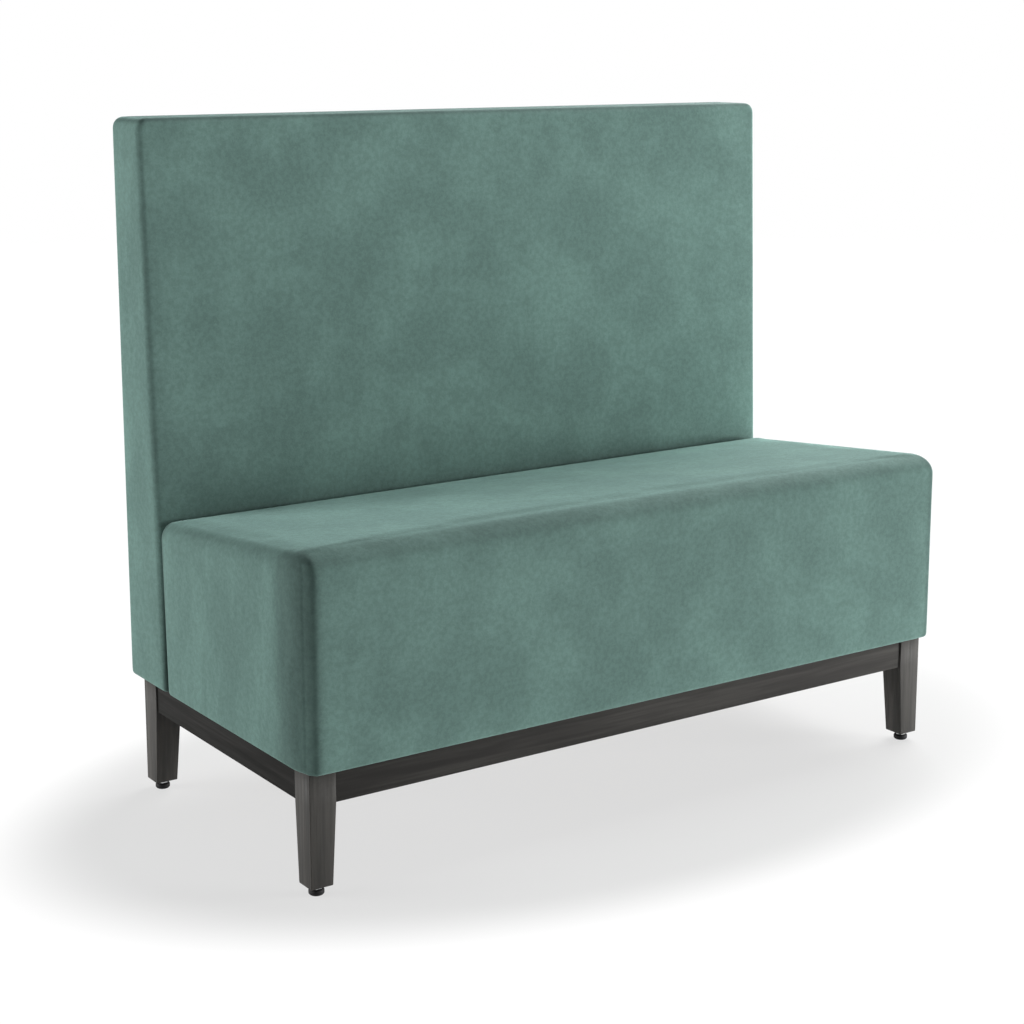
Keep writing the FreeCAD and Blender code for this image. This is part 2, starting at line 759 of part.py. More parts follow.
def rim(shape, facing, kept_edge):
    """The border of the faces that look in one direction."""
    def looks(face):
        u0, u1, v0, v1 = face.ParameterRange
        return face.normalAt((u0 + u1) / 2, (v0 + v1) / 2).dot(facing) > 0.9
    faces = [f for f in shape.Faces if looks(f)]
    edges = [e for f in faces for e in f.Edges]
    return [e for e in edges if sum(e.isSame(other) for other in edges) == 1
            and kept_edge(e.CenterOfMass)]


def face_at(z):
    slope = ((size.back_bottom_thickness - size.back_top_thickness)
             / (size.overall_height - size.base_height))
    return size.overall_depth - size.back_bottom_thickness + slope * (z - size.base_height)


def seat_plane(y):
    slope = size.seat_fall / (size.overall_depth - size.front_bulge - size.back_bottom_thickness)
    return size.seat_front_height - slope * (y - size.front_bulge)


def seat_form(inset, ease=rounded):
    """The seat's outside drawn in by inset; flat-faced if its edges are bevelled."""
    front, low = size.front_bulge + inset, size.base_height + inset
    rear_low = face_at(low) - size.soft_gap - inset
    rear_high = face_at(seat_plane(rear_low)) - size.soft_gap - inset
    high = seat_plane(front) - inset
    middle, halfway = (front + rear_high) / 2, (low + high) / 2
    points = [
        corner(Vector(0, front, low)), corner(Vector(0, rear_low, low)),
        corner(Vector(0, rear_high, seat_plane(rear_high) - inset)),
        crown(Vector(0, middle, seat_plane(middle) - inset + size.seat_crown)),
        corner(Vector(0, front, high)), crown(Vector(0, inset, halfway))]
    if ease is bevelled:
        points = [point for point in points if not point[1]]
    shape = across(closed_wire(points), size.seat_width / 2 - inset)
    shape = ease(shape, size.seat_corner_radius - inset, [
        e for e in shape.Edges if upright(e) and e.CenterOfMass.y < size.seat_corner_radius])
    rear = face_at(size.base_height) - size.seat_corner_radius
    shape = ease(shape, size.seat_rim_radius - inset,
                 rim(shape, Vector(0, 0, 1), lambda middle: middle.y < rear))
    above = size.base_height + size.rear_return
    return ease(shape, size.seat_rear_edge_radius - inset,
                rim(shape, Vector(0, 1, 0), lambda middle: middle.z > above))


def tangent_arc(start, heading, end):
    """The middle of the arc that leaves start along heading, and its heading at end."""
    chord = end - start
    along = Vector(chord).normalize()
    beside = heading - along * heading.dot(along)
    turn = heading.getAngle(along)
    middle = (start + end) / 2 + beside.normalize() * (chord.Length / 2 * math.tan(turn / 2))
    return middle, along * (2 * heading.dot(along)) - heading


def back_form(inset, ease=rounded):
    """The back's outside drawn in by inset; flat-faced if its edges are bevelled."""
    low, high = size.base_height + inset, size.overall_height - inset
    rear = size.overall_depth - inset
    crowned = size.seat_front_height - size.seat_fall + 2 * size.seat_crown
    eased = crowned + size.back_ease_height
    lift = 2 * size.back_crown * size.back_ease_height / (high - eased)
    foot, seam, first, last = (
        Vector(0, face_at(z) + inset - rise, z)
        for z, rise in ((low, 0), (crowned, 0), (eased, lift), (high, 0)))
    bend, heading = tangent_arc(seam, (seam - foot).normalize(), first)
    swell, _ = tangent_arc(first, heading, last)
    points = [corner(Vector(0, rear, high)), corner(Vector(0, rear, low)), corner(foot)]
    if ease is rounded:
        points += [corner(seam), crown(bend), corner(first), crown(swell)]
    half = size.back_width / 2 - inset
    shape = across(closed_wire(points + [corner(last)]), half)
    shape = ease(shape, size.back_corner_radius - inset, [
        e for e in shape.Edges if e.CenterOfMass.z > high - size.soft_gap
        and abs(e.CenterOfMass.x) > half - size.soft_gap])
    above = size.base_height + size.rear_window_margin
    for facing, radius in ((Vector(0, -1, 0), size.back_front_rim_radius),
                           (Vector(0, 1, 0), size.back_rear_rim_radius)):
        shape = ease(shape, radius - inset,
                     rim(shape, facing, lambda middle: middle.z > above))
    return shape


def across(profile, half):
    """A side profile carried across the bench."""
    return Part.Face(profile).translated(Vector(-half, 0, 0)).extrude(Vector(2 * half, 0, 0))


def slab(points):
    """A cutter as wide as the bench, from a side profile of straight lines."""
    return across(closed_wire([corner(Vector(0, y, z)) for y, z in points]), size.seat_width)


def feature(name, shape):
    made = doc.addObject("Part::Feature", name)
    made.Shape = shape
    made.Placement = Placement(Vector(0, -size.overall_depth / 2, 0), Rotation())
    keep(made)


foam_inset = size.cover_thickness + size.soft_gap
seat_outside, back_outside = seat_form(0), back_form(0)
seat_lining, back_lining = (form(size.cover_thickness, bevelled) for form in (seat_form, back_form))
seat_filling, back_filling = (form(foam_inset, bevelled) for form in (seat_form, back_form))
WIDE = size.seat_width


def seat_upholstery():
    half = size.base_width / 2 + size.soft_gap
    base_front = size.front_bulge + size.base_front_inset
    front = base_front - size.soft_gap
    rear = size.overall_depth
    low = size.base_height - size.cut_overrun
    lift = size.strap_thickness + size.soft_gap
    deck_at = lambda y: seat_plane(y) - size.top_foam_thickness + lift
    below = slab([(-rear, low), (2 * rear, low), (2 * rear, deck_at(2 * rear)),
                  (-rear, deck_at(-rear))])
    sides = seat_filling.common(below.translated(Vector(0, 0, -size.soft_gap)))
    strap_front = base_front - lift
    front_zone = Part.makeBox(2 * WIDE, rear, rear, Vector(-WIDE, strap_front - rear, 0))
    inner = Part.makeBox(2 * half, rear, rear, Vector(-half, 0, 0))
    ends = sides.cut(front_zone.translated(Vector(0, size.soft_gap, 0))).cut(inner)
    pads = sorted(ends.Solids, key=lambda s: s.CenterOfMass.x)
    feature("seat_foam", seat_filling.cut(below).Solids[0])
    feature("seat_front_foam", sides.common(front_zone).Solids[0])
    feature("seat_end_foam_left", pads[0])
    feature("seat_end_foam_right", pads[-1])
    bottom = Part.makeBox(2 * half, rear, size.cover_thickness + 2 * size.cut_overrun,
                          Vector(-half, front, low))
    window_top = seat_plane(face_at(size.seat_front_height)) - size.rear_return
    window = Part.makeBox(2 * (half - size.rear_return), rear, window_top - low,
                          Vector(size.rear_return - half, front + size.rear_return, low))
    shell = seat_outside.cut(seat_lining).cut(bottom)
    behind = face_at(size.base_height) - size.panel_thickness
    window = window.common(Part.makeBox(2 * WIDE, rear, rear, Vector(-WIDE, behind, 0)))
    feature("seat_cover", shell.cut(window).Solids[0])


def back_upholstery():
    half = number_of(FRAME_HALF) + size.soft_gap
    top = number_of(FRAME_TOP) + size.soft_gap
    board_top = number_of(BOARD_TOP) + size.soft_gap
    stack = number_of(PANEL_FRONT) - size.soft_gap
    high, rear, low = 2 * size.overall_height, size.overall_depth, size.base_height
    front_zone = slab([(-rear, board_top), (face_at(board_top) + stack, board_top),
                       (face_at(high) + stack, high), (-rear, high)])
    feature("back_foam", back_filling.common(front_zone).Solids[0])
    core = Part.makeBox(2 * half, 2 * rear, top, Vector(-half, 0, 0))
    behind = slab([(-rear, board_top - size.soft_gap),
                   (face_at(board_top) + stack + size.soft_gap, board_top - size.soft_gap),
                   (face_at(high) + stack + size.soft_gap, high), (-rear, high)])
    feature("back_edge_foam", back_filling.cut(core).cut(behind).Solids[0])
    low_cut = low - size.cut_overrun
    bottom = Part.makeBox(2 * half, rear, 2 * size.cut_overrun,
                          Vector(-half, face_at(low) + foam_inset - size.soft_gap, low_cut))
    window_half, window_high = number_of(WINDOW_HALF), number_of(WINDOW_HIGH)
    window = Part.makeBox(2 * window_half, rear, window_high - low_cut,
                          Vector(-window_half, number_of(FRAME_REAR), low_cut))
    shell = back_outside.cut(back_lining).cut(bottom).cut(window)
    for x in BOLT_LINES:
        shell = shell.cut(Part.makeCylinder(size.bolt_radius + size.soft_gap, rear,
                                            Vector(number_of(x), 0, number_of(BOLT_Z)),
                                            Vector(0, 1, 0)))
    feature("back_cover", shell.Solids[0])


seat_upholstery()
back_upholstery()
doc.removeObject(probe.Name)
doc.recompute()

broken = [o.Name for o in doc.Objects if {"Invalid", "Error"} & set(o.State)]
broken += [p.Name for p in kept if p.Shape.isNull() or not p.Shape.isValid()]
if broken:
    raise SystemExit("not built: " + ", ".join(broken))
for part in kept:
    part.Shape.exportStep(f"parts/{part.Label}.step")
    print(f"{part.Label}: {len(part.Shape.Solids)} solids, {part.Shape.Volume / 1000:.1f} cm3")
whole = FreeCAD.BoundBox()
for part in kept:
    whole.add(part.Shape.BoundBox)
print("pieces", len(kept), "box", whole)
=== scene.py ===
import json
import math

import bmesh
import bpy
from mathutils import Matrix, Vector
from mathutils.noise import noise as noiseAt


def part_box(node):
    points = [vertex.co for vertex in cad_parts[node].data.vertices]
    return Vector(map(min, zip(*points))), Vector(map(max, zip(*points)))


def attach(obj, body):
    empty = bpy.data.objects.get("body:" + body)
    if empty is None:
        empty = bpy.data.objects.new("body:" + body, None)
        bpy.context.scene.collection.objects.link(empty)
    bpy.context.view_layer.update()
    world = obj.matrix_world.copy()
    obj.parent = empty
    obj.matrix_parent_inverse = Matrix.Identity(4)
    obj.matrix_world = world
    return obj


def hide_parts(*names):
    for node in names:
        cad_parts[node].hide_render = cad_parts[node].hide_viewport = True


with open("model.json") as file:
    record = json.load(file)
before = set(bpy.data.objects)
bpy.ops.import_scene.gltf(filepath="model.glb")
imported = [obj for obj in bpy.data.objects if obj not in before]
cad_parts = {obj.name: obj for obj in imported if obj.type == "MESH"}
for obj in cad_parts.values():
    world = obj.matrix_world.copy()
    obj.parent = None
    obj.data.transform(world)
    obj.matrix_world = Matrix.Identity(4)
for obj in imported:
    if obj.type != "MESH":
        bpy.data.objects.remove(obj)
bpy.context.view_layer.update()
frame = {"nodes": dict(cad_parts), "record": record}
nodes = frame["nodes"]
print("booth frame loaded:", len(nodes), "nodes")

# Node helpers: a value may be a number, a colour or another node's socket.

def setInput(tree, socket, value):
    if isinstance(value, bpy.types.NodeSocket):
        tree.links.new(value, socket)
    else:
        socket.default_value = value


def addNode(tree, kind, inputs, **settings):
    node = tree.nodes.new(kind)
    for name, value in settings.items():
        setattr(node, name, value)
    for name, value in inputs.items():
        setInput(tree, node.inputs[name], value)
    return node


def noise(tree, place, scale, detail, rough=0.55):
    return addNode(tree, "ShaderNodeTexNoise", {"Vector": place, "Scale": scale, "Detail": detail,
                   "Roughness": rough}).outputs["Fac"]


def waves(tree, place, scale, distortion, direction):
    return addNode(tree, "ShaderNodeTexWave", {"Vector": place, "Scale": scale,
                   "Distortion": distortion}, bands_direction=direction).outputs["Fac"]


def remap(tree, value, low, high, outLow=0.0, outHigh=1.0):
    return addNode(tree, "ShaderNodeMapRange", {"Value": value, "From Min": low, "From Max": high,
                   "To Min": outLow, "To Max": outHigh}, clamp=True,
                   interpolation_type="SMOOTHSTEP").outputs["Result"]


def maths(tree, operation, first, second=0.0):
    return addNode(tree, "ShaderNodeMath", {0: first, 1: second}, operation=operation).outputs[0]


def vectorMaths(tree, operation, inputs):
    return addNode(tree, "ShaderNodeVectorMath", inputs, operation=operation).outputs


def split(tree, vector):
    return addNode(tree, "ShaderNodeSeparateXYZ", {"Vector": vector}).outputs


def mapped(tree, place, **settings):
    return addNode(tree, "ShaderNodeMapping", {"Vector": place, **settings}).outputs["Vector"]


# A Mix node's colour sockets are its inputs 6 and 7 and its output 2.

def mixColour(tree, factor, first, second):
    node = addNode(tree, "ShaderNodeMix", {}, data_type="RGBA")
    for index, value in ((0, factor), (6, first), (7, second)):
        setInput(tree, node.inputs[index], value)
    return node.outputs[2]


def bump(tree, height, distance, strength):
    return addNode(tree, "ShaderNodeBump", {"Height": height, "Distance": distance,
                   "Strength": strength}).outputs["Normal"]


# Pushes a place about by a soft noise, so that a pattern on it wanders.

def bent(tree, place, source, look):
    swirl = addNode(tree, "ShaderNodeTexNoise", {"Vector": source, "Scale": look["bendScale"],
                    "Detail": look["bendDetail"]}).outputs["Color"]
    reach = (look["bendReach"],) * 3
    return vectorMaths(tree, "MULTIPLY_ADD", {0: swirl, 1: reach, 2: place})[0]


# Turns screen levels from 0 to 255 into the linear colour that nodes take.

def paint(red, green, blue):
    def linear(level):
        level /= 255
        return level / 12.92 if level <= 0.04045 else ((level + 0.055) / 1.055) ** 2.4
    return linear(red), linear(green), linear(blue), 1.0


def newGroup(name, inputs, outputs):
    tree = bpy.data.node_groups.new(name, "ShaderNodeTree")
    for socket in inputs:
        kind = "NodeSocketVector" if socket == "Place" else "NodeSocketFloat"
        tree.interface.new_socket(socket, in_out="INPUT", socket_type=kind)
    for socket in outputs:
        tree.interface.new_socket(socket, in_out="OUTPUT", socket_type="NodeSocketFloat")
    given = tree.nodes.new("NodeGroupInput").outputs
    results = tree.nodes.new("NodeGroupOutput").inputs
    return tree, given, results


def useGroup(tree, group, inputs):
    return addNode(tree, "ShaderNodeGroup", inputs, node_tree=group).outputs


def setShader(tree, shader, **values):
    for socket, value in values.items():
        setInput(tree, shader.inputs[socket.replace("_", " ")], value)


def newMaterial(name, **shaderValues):
    material = bpy.data.materials.new(name)
    material.use_nodes = True
    tree = material.node_tree
    shader = tree.nodes["Principled BSDF"]
    setShader(tree, shader, **shaderValues)
    place = tree.nodes.new("ShaderNodeTexCoord").outputs["Object"]
    return material, tree, shader, place


# Node groups that several materials share. A field's noise is its detail and roughness, and its
# range is the stretch of values that is spread from 0 to 1.

napLook = {
    "bendScale": 4.0, "bendDetail": 2.0, "bendReach": 0.09, "brush": (3.0, 3.0, 0.9),
    "cloud": {"noise": (7.0, 0.62), "range": (0.34, 0.68)},
    "brushed": {"noise": (4.0, 0.55), "range": (0.34, 0.68)},
    "mottle": {"noise": (4.0, 0.68), "range": (0.3, 0.7)},
    "grain": {"noise": (3.0, 0.75), "range": (0.3, 0.7)},
    "mottleHeight": 1.5,
}


def makeNapGroup(look):
    tree, given, results = newGroup(
        "clothNap", ["Place", "Cloud Scale", "Mottle Scale", "Grain Scale"],
        ["Cloud", "Brushed", "Mottle", "Grain", "Height"])
    place = given["Place"]
    swirl = bent(tree, place, place, look)
    strokes = mapped(tree, swirl, Scale=look["brush"])
    fields = {}
    for name, source, scale in (("cloud", swirl, "Cloud Scale"), ("brushed", strokes, "Cloud Scale"),
                                ("mottle", place, "Mottle Scale"), ("grain", place, "Grain Scale")):
        fields[name] = noise(tree, source, given[scale], *look[name]["noise"])
        setInput(tree, results[name.title()], remap(tree, fields[name], *look[name]["range"]))
    mottleHeight = maths(tree, "MULTIPLY", fields["mottle"], look["mottleHeight"])
    setInput(tree, results["Height"], maths(tree, "ADD", fields["grain"], mottleHeight))
    return tree


grainLook = {
    "bendScale": 1.5, "bendDetail": 3.0, "bendReach": 0.05, "bendStretch": (6, 6, 1.2),
    "rings": {"stretch": (9, 9, 0.35), "noise": (4.0, 0.5), "range": (0.33, 0.67)},
    "fibres": {"stretch": (1, 1, 0.03), "noise": (5.0, 0.7), "range": (0.3, 0.72), "scale": 160.0},
}


def makeGrainGroup(look):
    tree, given, results = newGroup("woodGrain", ["Place", "Ring Scale"],
                                    ["Rings", "Fibres", "Height"])
    place = given["Place"]
    wander = bent(tree, place, mapped(tree, place, Scale=look["bendStretch"]), look)
    rings, fibres = look["rings"], look["fibres"]
    ringField = noise(tree, mapped(tree, wander, Scale=rings["stretch"]), given["Ring Scale"],
                      *rings["noise"])
    fibreField = noise(tree, mapped(tree, place, Scale=fibres["stretch"]), fibres["scale"],
                       *fibres["noise"])
    setInput(tree, results["Rings"], remap(tree, ringField, *rings["range"]))
    setInput(tree, results["Fibres"], remap(tree, fibreField, *fibres["range"]))
    setInput(tree, results["Height"], fibreField)
    return tree


napGroup, grainGroup = makeNapGroup(napLook), makeGrainGroup(grainLook)

# Cloth. A normal's share, from 0 to 1, tells the ends, the rounded edges and the top apart: the
# rounded edges and the back's top get a painted shade. Where the seat and the back meet, the crevice
# shade is a painted shade, from one depth to another, with a level for each.

clothLook = {
    "low": paint(92, 117, 111), "middle": paint(109, 139, 132), "high": paint(126, 158, 150),
    "cloudScale": 8.0, "mottleScale": 120.0, "grainScale": 430.0, "blend": 0.62,
    "mottle": (0.915, 1.07), "grain": (0.945, 1.035), "endNormal": (0.6, 0.95),
    "endStrokes": 0.65, "shadedEdgeNormal": (0.74, 0.97), "topNormal": (0.5, 0.95),
    "cloudHeight": 1.6, "bump": (0.0006, 0.36),
}
seatClothLook = {
    # edge and crevice are painted shades: on the rounded edges and where the seat meets the back
    "strokes": 0.15, "edge": 0.88, "creviceShade": (0.149, 0.164, 1.0, 0.35),
    # corner: a painted shade round the upright front corners
    "corner": {"across": 0.571, "acrossFade": 0.027, "front": -0.2912, "depth": 0.115,
               "depthFade": (0.35, 1.0), "shade": 0.6},
}
# edge, crevice and top are painted shades: on the rounded edges, where the back meets the seat, and
# on the back's top
backClothLook = {"strokes": 0.12, "edge": 0.9, "creviceShade": (0.168, 0.1755, 0.4, 1.0), "top": 0.7}


# A painted shade darkens the cloth round each upright front corner, where the rounding gets little
# light.

def paintedCornerShade(tree, spot, look):
    beyond = maths(tree, "SUBTRACT", maths(tree, "ABSOLUTE", spot["X"]), look["across"])
    behind = maths(tree, "SUBTRACT", spot["Y"], look["front"])
    outer = remap(tree, maths(tree, "DIVIDE", beyond, look["acrossFade"]), 0.0, 1.0)
    fore = remap(tree, maths(tree, "DIVIDE", behind, look["depth"]), *look["depthFade"], 1.0, 0.0)
    return remap(tree, maths(tree, "MULTIPLY", outer, fore), 0.0, 1.0, 1.0, look["shade"])


def makeCloth(name, look, part):
    material, tree, shader, place = newMaterial(
        name, Roughness=0.92, Specular_IOR_Level=0.12, Diffuse_Roughness=1.0, Sheen_Weight=0.3,
        Sheen_Roughness=0.3, Sheen_Tint=(0.5, 0.78, 0.73, 1.0))
    nap = useGroup(tree, napGroup, {"Place": place, "Cloud Scale": look["cloudScale"],
                                    "Mottle Scale": look["mottleScale"],
                                    "Grain Scale": look["grainScale"]})
    spot = split(tree, place)
    facing = split(tree, tree.nodes.new("ShaderNodeNewGeometry").outputs["Normal"])
    sideways, upward = (maths(tree, "ABSOLUTE", facing[way]) for way in "XZ")
    outward = maths(tree, "SQRT", maths(tree, "SUBTRACT", 1.0, maths(tree, "POWER", upward, 2.0)))
    flat = maths(tree, "MAXIMUM", outward, upward)
    clouds, strokes = (mixColour(tree, nap[mask], look["low"], look["high"])
                       for mask in ("Cloud", "Brushed"))
    brushed = remap(tree, sideways, *look["endNormal"], part["strokes"], look["endStrokes"])
    colour = mixColour(tree, brushed, clouds, strokes)
    colour = mixColour(tree, look["blend"], colour, look["middle"])
    shades = [remap(tree, nap["Mottle"], 0.0, 1.0, *look["mottle"]),
              remap(tree, nap["Grain"], 0.0, 1.0, *look["grain"]),
              # a painted shade on the rounded edges, where the normal lies between two axes
              remap(tree, flat, *look["shadedEdgeNormal"], part["edge"], 1.0),
              # a painted shade where the seat and the back meet
              remap(tree, spot["Y"], *part["creviceShade"])]
    # painted shade round the seat's upright front corners
    if "corner" in part:
        shades.append(paintedCornerShade(tree, spot, part["corner"]))
    # a painted shade on the back's upward faces
    if "top" in part:
        shades.append(remap(tree, upward, *look["topNormal"], 1.0, part["top"]))
    for shade in shades:
        colour = vectorMaths(tree, "SCALE", {0: colour, "Scale": shade})[0]
    height = maths(tree, "ADD", nap["Height"], maths(tree, "MULTIPLY", nap["Cloud"],
                                                     look["cloudHeight"]))
    setShader(tree, shader, Base_Color=colour, Normal=bump(tree, height, *look["bump"]))
    return material


seatCloth = makeCloth("suedeSeat", clothLook, seatClothLook)
backCloth = makeCloth("suedeBack", clothLook, backClothLook)

# Wood. Grain runs along z unless it is turned. The legs shine a little more than the rails.
# The side rails, deep along y, get a darker stain: a painted shade.

quarter = math.pi / 2
grainTurns = {"upright": (0, 0, 0), "along": (0, quarter, 0), "deep": (quarter, 0, 0)}
woodLook = {"fibreShade": 0.55, "bump": (0.0004, 0.35)}
darkStain = {
    "upright": {"dark": paint(45, 44, 42), "light": paint(61, 59, 56), "rough": (0.58, 0.76),
                "gloss": 0.22, "ringScale": 9.0},
    "along": {"dark": paint(47, 46, 45), "light": paint(60, 59, 57), "rough": (0.82, 1.0),
              "gloss": 0.03, "ringScale": 9.0},
    # deep: the side rails' darker colours are a painted shade
    "deep": {"dark": paint(31, 31, 30), "light": paint(42, 41, 40), "rough": (0.74, 0.92),
             "gloss": 0.05, "ringScale": 9.0},
}
paleWood = {"dark": paint(176, 138, 92), "light": paint(214, 180, 132), "rough": (0.56, 0.74),
            "gloss": 0.3, "ringScale": 6.0}


def makeWood(name, turn, finish, look):
    material, tree, shader, place = newMaterial(name, Specular_IOR_Level=finish["gloss"])
    grain = useGroup(tree, grainGroup, {"Place": mapped(tree, place, Rotation=turn),
                                        "Ring Scale": finish["ringScale"]})
    colour = mixColour(tree, grain["Rings"], finish["dark"], finish["light"])
    fibres = remap(tree, grain["Fibres"], 0.0, 1.0, 0.0, look["fibreShade"])
    setShader(tree, shader, Base_Color=mixColour(tree, fibres, colour, finish["dark"]),
              Roughness=remap(tree, grain["Fibres"], 0.0, 1.0, *finish["rough"]),
              Normal=bump(tree, grain["Height"], *look["bump"]))
    return material


stainedWood = {way: makeWood(f"stainedWood{way.title()}", turn, darkStain[way], woodLook)
               for way, turn in grainTurns.items()}
softwood = {way: makeWood(f"softwood{way.title()}", turn, paleWood, woodLook)
            for way, turn in grainTurns.items()}

plywoodLook = {
    "dark": paint(206, 176, 130), "light": paint(226, 200, 158), "glueLine": paint(150, 112, 70),
    "ringScale": 5.0, "plyScale": 110.0, "plyWaver": 0.6, "plyRange": (0.2, 0.9, 0.0, 0.3),
    "bump": (0.0003, 0.3),
}


def makePlywood(look):
    material, tree, shader, place = newMaterial("birchPlywood", Roughness=0.6)
    grain = useGroup(tree, grainGroup, {"Place": mapped(tree, place, Rotation=grainTurns["along"]),
                                        "Ring Scale": look["ringScale"]})
    face = mixColour(tree, grain["Rings"], look["dark"], look["light"])
    plies = remap(tree, waves(tree, place, look["plyScale"], look["plyWaver"], "Y"),
                  *look["plyRange"])
    setShader(tree, shader, Base_Color=mixColour(tree, plies, face, look["glueLine"]),
              Normal=bump(tree, grain["Height"], *look["bump"]))
    return material


foamLook = {
    "dark": paint(226, 214, 176), "light": paint(240, 232, 204), "pit": paint(168, 150, 104),
    "toneNoise": (9.0, 4.0), "toneRange": (0.35, 0.65), "cellScale": 420.0,
    "pitRange": (0.0, 0.5, 0.4, 0.0), "bump": (0.0008, 0.6),
}


def makeFoam(look):
    material, tree, shader, place = newMaterial("cutFoam", Roughness=0.95, Sheen_Weight=0.1)
    cells = addNode(tree, "ShaderNodeTexVoronoi", {"Vector": place, "Scale": look["cellScale"]})
    depth = cells.outputs["Distance"]
    tone = remap(tree, noise(tree, place, *look["toneNoise"]), *look["toneRange"])
    colour = mixColour(tree, tone, look["dark"], look["light"])
    pits = remap(tree, depth, *look["pitRange"])
    setShader(tree, shader, Base_Color=mixColour(tree, pits, colour, look["pit"]),
              Normal=bump(tree, depth, *look["bump"]))
    return material


weaveLook = {
    "waver": 0.3, "fuzzNoise": (60.0, 5.0), "fuzzRange": (0.3, 0.7, 0.0, 0.35),
    "bump": (0.0005, 0.7),
    "webbing": {"dark": paint(70, 64, 56), "light": paint(112, 104, 92), "threadScale": 130.0},
    "lining": {"dark": paint(16, 16, 17), "light": paint(34, 34, 36), "threadScale": 260.0},
}


def makeWeave(name, look, cloth):
    material, tree, shader, place = newMaterial(name, Roughness=0.85, Sheen_Weight=0.15)
    threads = maths(tree, "MULTIPLY", *(waves(tree, place, cloth["threadScale"], look["waver"], way)
                                        for way in "XY"))
    fuzz = remap(tree, noise(tree, place, *look["fuzzNoise"]), *look["fuzzRange"])
    colour = mixColour(tree, threads, cloth["dark"], cloth["light"])
    setShader(tree, shader, Base_Color=mixColour(tree, fuzz, colour, cloth["dark"]),
              Normal=bump(tree, threads, *look["bump"]))
    return material


nylonLook = {
    "dark": paint(13, 13, 14), "light": paint(25, 25, 26), "speckNoise": (90.0, 6.0, 0.7),
    "colourRange": (0.35, 0.7), "roughRange": (0.3, 0.7, 0.55, 0.75), "bump": (0.0002, 0.4),
}
zincLook = {
    "dark": paint(176, 178, 180), "light": paint(206, 207, 205), "speckNoise": (220.0, 5.0, 0.65),
    "colourRange": (0.35, 0.65), "roughRange": (0.3, 0.7, 0.28, 0.5), "bump": (0.0001, 0.3),
}


def makeSpeckled(name, look, **shaderValues):
    material, tree, shader, place = newMaterial(name, **shaderValues)
    specks = noise(tree, place, *look["speckNoise"])
    colour = mixColour(tree, remap(tree, specks, *look["colourRange"]), look["dark"], look["light"])
    setShader(tree, shader, Base_Color=colour, Roughness=remap(tree, specks, *look["roughRange"]),
              Normal=bump(tree, specks, *look["bump"]))
    return material


plywood, cutFoam = makePlywood(plywoodLook), makeFoam(foamLook)
webbing = makeWeave("elasticWebbing", weaveLook, weaveLook["webbing"])
lining = makeWeave("dustLining", weaveLook, weaveLook["lining"])
nylon = makeSpeckled("blackNylon", nylonLook, Specular_IOR_Level=0.2)
zinc = makeSpeckled("zincPlate", zincLook, Metallic=1.0)


def frameWoodFor(name):
    if "stile" in name:
        return softwood["upright"]
    return softwood["deep"] if name == "base_cross_rail" else softwood["along"]


slotMaterials = {"plywood": plywood, "foam": cutFoam, "webbing": webbing, "lining": lining,
                 "glide": nylon, "steel": zinc, "upholstery": backCloth,
                 "wood": stainedWood["upright"]}
for part in frame["record"]["subparts"]:
    slot = part["material_slot"]
    chosen = frameWoodFor(part["node"]) if slot == "frame_wood" else slotMaterials[slot]
    mesh = nodes[part["node"]].data
    mesh.materials.clear()
    mesh.materials.append(chosen)
print("materials made:", len(bpy.data.materials))

# Shapes. A plane here is a point and a normal, both in the booth's own frame.

closeBy, cutWidth = 1e-5, 1e-6      # metres within which two places count as one


def placedCube(half, low, high):
    bm = bmesh.new()
    bmesh.ops.create_cube(bm, size=2)
    for vert in bm.verts:
        y, z = (high if vert.co.z > 0 else low)[vert.co.y > 0]
        vert.co = vert.co.x * half, y, z
    return bm


def onPlane(plane):
    point, normal = plane
    return lambda co: abs((co - point).dot(normal)) < closeBy


def roundEdges(bm, radius, segments, chosen):
    edges = [edge for edge in bm.edges if chosen(*(vert.co for vert in edge.verts))]
    bmesh.ops.bevel(bm, geom=edges, offset=radius, offset_type="OFFSET", segments=segments,
                    profile=0.5, affect="EDGES", material=-1, clamp_overlap=False)


def cutThrough(bm, point, normal):
    bmesh.ops.bisect_plane(bm, geom=bm.verts[:] + bm.edges[:] + bm.faces[:], dist=cutWidth,
                           plane_co=point, plane_no=normal)


def gridCuts(bm, first, last, step):
    (firstPoint, firstNormal), (lastPoint, lastNormal) = first, last
    count = max(1, round((lastPoint - firstPoint).length / step))
    for number in range(1, count):
        part = number / count
        cutThrough(bm, firstPoint.lerp(lastPoint, part),
                   firstNormal.lerp(lastNormal, part).normalized())


def spaced(stops, steps):
    places = []
    for low, high, step in zip(stops, stops[1:], steps):
        count = max(1, round((high - low) / step))
        places += [low + (high - low) * number / count for number in range(count)]
    return places + [stops[-1]]


def gridBox(cuts):
    bm = bmesh.new()
    bmesh.ops.create_cube(bm, size=2)
    for vert in bm.verts:
        vert.co = [places[-1 if part > 0 else 0] for part, places in zip(vert.co, cuts)]
    for axis, places in enumerate(cuts):
        way = Vector([float(axis == number) for number in range(3)])
        for place in places[1:-1]:
            cutThrough(bm, way * place, way)
    return bm


def within(value, low=0.0, high=1.0):
    return min(max(value, low), high)


# Draws a box's corners in to quarter ellipses, with a radius of its own on each side.

def drawnIn(co, low, high, lowRadii, highRadii):
    inner = Vector([within(place, first + near, last - far) for place, first, last, near, far
                    in zip(co, low, high, lowRadii, highRadii)])
    radii = [near if place < start else far
             for place, start, near, far in zip(co, inner, lowRadii, highRadii)]
    part = Vector([(place - start) / radius if radius else 0.0
                   for place, start, radius in zip(co, inner, radii)])
    if part.length < cutWidth:
        return co
    part *= max(abs(share) for share in part) / part.length
    return inner + Vector([share * radius for share, radius in zip(part, radii)])


